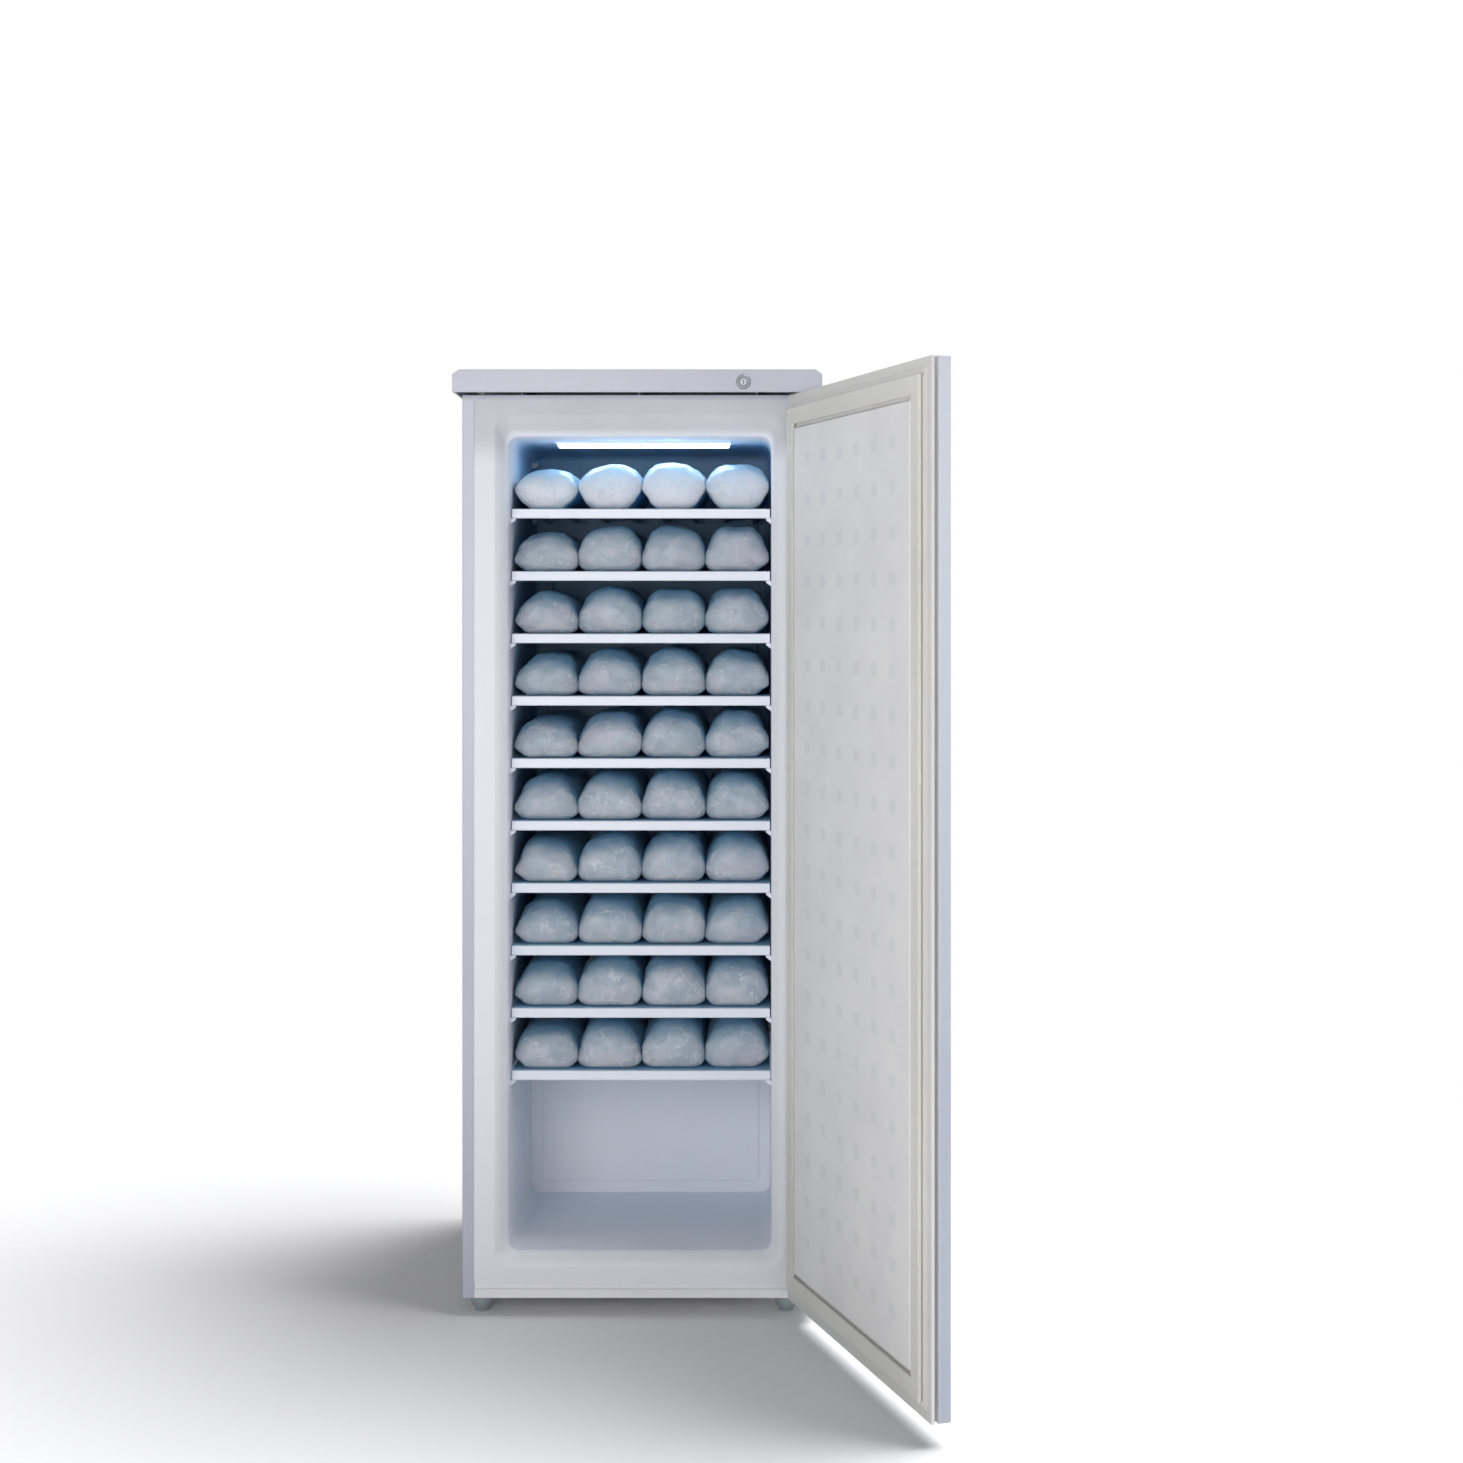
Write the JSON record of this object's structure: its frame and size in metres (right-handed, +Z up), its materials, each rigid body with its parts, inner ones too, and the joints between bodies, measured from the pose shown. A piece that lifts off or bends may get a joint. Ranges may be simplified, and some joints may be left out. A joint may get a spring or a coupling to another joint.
{
  "type": "solar freezer",
  "caption": "Tall upright solar freezer with one right-hinged door, shelves of ice bags, a lit cavity, a locking top cover, levelling feet and rear rollers.",
  "frame": {"origin": "on the floor, under the middle of the steel cabinet", "axes": "+Z up, the front faces -Y, +X to the right as seen from the front"},
  "size_m": [0.7894, 1.1854, 1.603],
  "materials": {
    "cabinet_shell": "satin",
    "base_pan": "satin",
    "back_panel": "satin",
    "cabinet_liner": "satin",
    "insulation_foam": "matte",
    "top_cover": "satin",
    "top_hinge_bracket": "satin",
    "bottom_hinge_bracket": "satin",
    "assembly_screws": "satin",
    "lock_escutcheon": "polished",
    "lock_plug": "polished",
    "lock_cam": "satin",
    "shelf_front_rails": "satin",
    "shelf_clips": "satin",
    "evaporator_riser_tubes": "satin",
    "lamp_housing": "satin",
    "lamp_diffuser": "gloss",
    "temperature_probe": "satin",
    "foot_inserts": "satin",
    "levelling_foot_left": "matte",
    "levelling_foot_right": "matte",
    "roller_brackets": "satin",
    "rear_roller_left": "matte",
    "rear_roller_right": "matte",
    "compressor": "satin",
    "compressor_grommets": "matte",
    "compressor_controller": "satin",
    "filter_drier": "satin",
    "refrigerant_lines": "satin",
    "dc_terminal": "matte",
    "rear_grille": "satin",
    "door_edge_trims": "satin",
    "door_skin": "satin",
    "door_liner": "satin",
    "door_foam": "matte",
    "door_gasket": "matte",
    "hinge_bushes": "satin",
    "lock_keeper": "satin",
    "badge_plate": "satin",
    "picture_film": "gloss",
    "evaporator_plate": "satin",
    "ice_bag": "satin"
  },
  "bodies": {
    "cabinet": {"cabinet_shell": "cabinet_shell", "base_pan": "base_pan", "back_panel": "back_panel", "cabinet_liner": "cabinet_liner", "insulation_foam": "insulation_foam", "top_cover": "top_cover", "top_hinge_bracket": "top_hinge_bracket", "bottom_hinge_bracket": "bottom_hinge_bracket", "assembly_screws": "assembly_screws", "lock_escutcheon": "lock_escutcheon", "shelf_front_rails": "shelf_front_rails", "shelf_clips": "shelf_clips", "evaporator_riser_tubes": "evaporator_riser_tubes", "lamp_housing": "lamp_housing", "lamp_diffuser": "lamp_diffuser", "temperature_probe": "temperature_probe", "foot_inserts": "foot_inserts", "roller_brackets": "roller_brackets", "compressor": "compressor", "compressor_grommets": "compressor_grommets", "compressor_controller": "compressor_controller", "filter_drier": "filter_drier", "refrigerant_lines": "refrigerant_lines", "dc_terminal": "dc_terminal", "rear_grille": "rear_grille", "evaporator_shelf_01": "evaporator_plate", "evaporator_shelf_02": "evaporator_plate", "evaporator_shelf_03": "evaporator_plate", "evaporator_shelf_04": "evaporator_plate", "evaporator_shelf_05": "evaporator_plate", "evaporator_shelf_06": "evaporator_plate", "evaporator_shelf_07": "evaporator_plate", "evaporator_shelf_08": "evaporator_plate", "evaporator_shelf_09": "evaporator_plate", "evaporator_shelf_10": "evaporator_plate"},
    "door": {"door_edge_trims": "door_edge_trims", "door_skin": "door_skin", "door_liner": "door_liner", "door_foam": "door_foam", "door_gasket": "door_gasket", "hinge_bushes": "hinge_bushes", "lock_keeper": "lock_keeper", "badge_plate": "badge_plate", "picture_film": "picture_film"},
    "lock": {"lock_plug": "lock_plug", "lock_cam": "lock_cam"},
    "foot_left": {"levelling_foot_left": "levelling_foot_left"},
    "foot_right": {"levelling_foot_right": "levelling_foot_right"},
    "roller_left": {"rear_roller_left": "rear_roller_left"},
    "roller_right": {"rear_roller_right": "rear_roller_right"},
    "ice_row_01": {"ice_bags_row_01": "ice_bag"},
    "ice_row_02": {"ice_bags_row_02": "ice_bag"},
    "ice_row_03": {"ice_bags_row_03": "ice_bag"},
    "ice_row_04": {"ice_bags_row_04": "ice_bag"},
    "ice_row_05": {"ice_bags_row_05": "ice_bag"},
    "ice_row_06": {"ice_bags_row_06": "ice_bag"},
    "ice_row_07": {"ice_bags_row_07": "ice_bag"},
    "ice_row_08": {"ice_bags_row_08": "ice_bag"},
    "ice_row_09": {"ice_bags_row_09": "ice_bag"},
    "ice_row_10": {"ice_bags_row_10": "ice_bag"}
  },
  "joints": [
    {"name": "door_hinge", "type": "hinge", "parent": "cabinet", "child": "door", "pos_m": [0.276, -0.3283, 0.036], "axis": [0, 0, 1], "range_deg": [-109.4, 11]},
    {"name": "lock_turn", "type": "hinge", "parent": "cabinet", "child": "lock", "pos_m": [0.1779, -0.3337, 1.582], "axis": [0, -1, 0], "range_deg": [0, 90]},
    {"name": "foot_left_level", "type": "slide", "parent": "cabinet", "child": "foot_left", "axis": [0, 0, -1], "range_m": [0, 0.01]},
    {"name": "foot_right_level", "type": "slide", "parent": "cabinet", "child": "foot_right", "axis": [0, 0, -1], "range_m": [0, 0.01]},
    {"name": "roller_left_spin", "type": "hinge", "parent": "cabinet", "child": "roller_left", "pos_m": [-0.25, 0.25, 0.014], "axis": [1, 0, 0], "continuous": true},
    {"name": "roller_right_spin", "type": "hinge", "parent": "cabinet", "child": "roller_right", "pos_m": [0.25, 0.25, 0.014], "axis": [1, 0, 0], "continuous": true},
    {"name": "ice_row_01_slide", "type": "slide", "parent": "cabinet", "child": "ice_row_01", "axis": [0, -1, 0], "range_m": [0, 0.46]},
    {"name": "ice_row_02_slide", "type": "slide", "parent": "cabinet", "child": "ice_row_02", "axis": [0, -1, 0], "range_m": [0, 0.46]},
    {"name": "ice_row_03_slide", "type": "slide", "parent": "cabinet", "child": "ice_row_03", "axis": [0, -1, 0], "range_m": [0, 0.46]},
    {"name": "ice_row_04_slide", "type": "slide", "parent": "cabinet", "child": "ice_row_04", "axis": [0, -1, 0], "range_m": [0, 0.46]},
    {"name": "ice_row_05_slide", "type": "slide", "parent": "cabinet", "child": "ice_row_05", "axis": [0, -1, 0], "range_m": [0, 0.46]},
    {"name": "ice_row_06_slide", "type": "slide", "parent": "cabinet", "child": "ice_row_06", "axis": [0, -1, 0], "range_m": [0, 0.46]},
    {"name": "ice_row_07_slide", "type": "slide", "parent": "cabinet", "child": "ice_row_07", "axis": [0, -1, 0], "range_m": [0, 0.46]},
    {"name": "ice_row_08_slide", "type": "slide", "parent": "cabinet", "child": "ice_row_08", "axis": [0, -1, 0], "range_m": [0, 0.46]},
    {"name": "ice_row_09_slide", "type": "slide", "parent": "cabinet", "child": "ice_row_09", "axis": [0, -1, 0], "range_m": [0, 0.46]},
    {"name": "ice_row_10_slide", "type": "slide", "parent": "cabinet", "child": "ice_row_10", "axis": [0, -1, 0], "range_m": [0, 0.46]}
  ]
}
